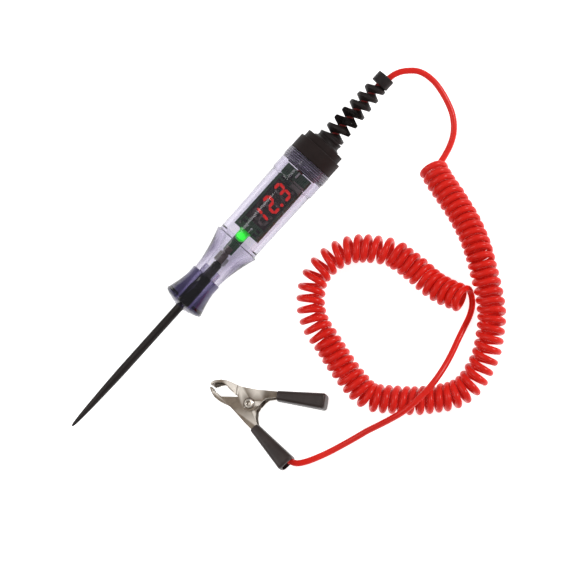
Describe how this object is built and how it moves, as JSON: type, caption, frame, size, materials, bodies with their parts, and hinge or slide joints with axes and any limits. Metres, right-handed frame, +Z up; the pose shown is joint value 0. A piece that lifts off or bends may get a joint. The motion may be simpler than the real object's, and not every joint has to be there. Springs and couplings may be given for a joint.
{
  "type": "automotive circuit test light",
  "caption": "Pen-type circuit tester with a steel needle, clear handle, lit readout and lamp, curly ground cord and sprung jaw clip.",
  "frame": {"origin": "under the middle of the pen's length, on the surface the pen rests on", "axes": "+X along the pen from the needle's point towards the cord, +Z up from the surface, the coil and the clip on the -Y side"},
  "size_m": [0.226, 0.1399, 0.023],
  "materials": {
    "black_steel": "blackened, satin",
    "black_plastic": "satin moulded",
    "tinted_clear": "clear, faint violet tint",
    "clear_plastic": "clear, polished",
    "black_rubber": "satin moulded",
    "board_green": "solder mask",
    "terminal_metal": "dull",
    "tinned_metal": "tinned",
    "display_black": "smooth",
    "segment_lit": "lit red",
    "segment_dark": "unlit",
    "lamp_green": "lit green",
    "chip_black": "moulded epoxy",
    "capacitor_grey": "smooth",
    "red_cord": "glossy extruded jacket",
    "plated_steel": "nickel plated, pressed",
    "spring_steel": "drawn wire",
    "black_vinyl": "dipped vinyl, soft gloss"
  },
  "bodies": {
    "tester": {"probe_needle": "black_steel", "needle_sleeve": "black_plastic", "nose_bell": "tinted_clear", "handle_body": "clear_plastic", "end_cap": "black_plastic", "strain_relief": "black_rubber", "circuit_board": "board_green", "probe_terminal": "terminal_metal", "contact_tab": "tinned_metal", "display_case": "display_black", "lit_segments": "segment_lit", "unlit_segments": "segment_dark", "display_pins": "tinned_metal", "indicator_led": "lamp_green", "led_leads": "tinned_metal", "controller_chip": "chip_black", "chip_legs": "tinned_metal", "resistors": "chip_black", "smoothing_capacitor": "capacitor_grey", "voltage_regulator": "chip_black", "protection_diode": "chip_black", "inner_lead": "red_cord", "lead_core": "tinned_metal", "cord_lead_in": "red_cord", "curly_cord": "red_cord", "cord_lead_out": "red_cord", "clip_lower_lever": "plated_steel", "clip_rivet": "plated_steel", "clip_spring": "spring_steel", "lower_grip": "black_vinyl", "cord_crimp": "tinned_metal"},
    "moving_jaw": {"clip_upper_lever": "plated_steel", "upper_grip": "black_vinyl"}
  },
  "joints": [
    {"name": "clip_hinge", "type": "hinge", "parent": "tester", "child": "moving_jaw", "pos_m": [-0.0445, -0.0534, 0.0052], "axis": [0, 0, 1], "range_deg": [-28, 0], "stiffness_Nm_per_rad": 0.1, "springref_deg": 28.65, "deforming": ["clip_spring"]}
  ]
}
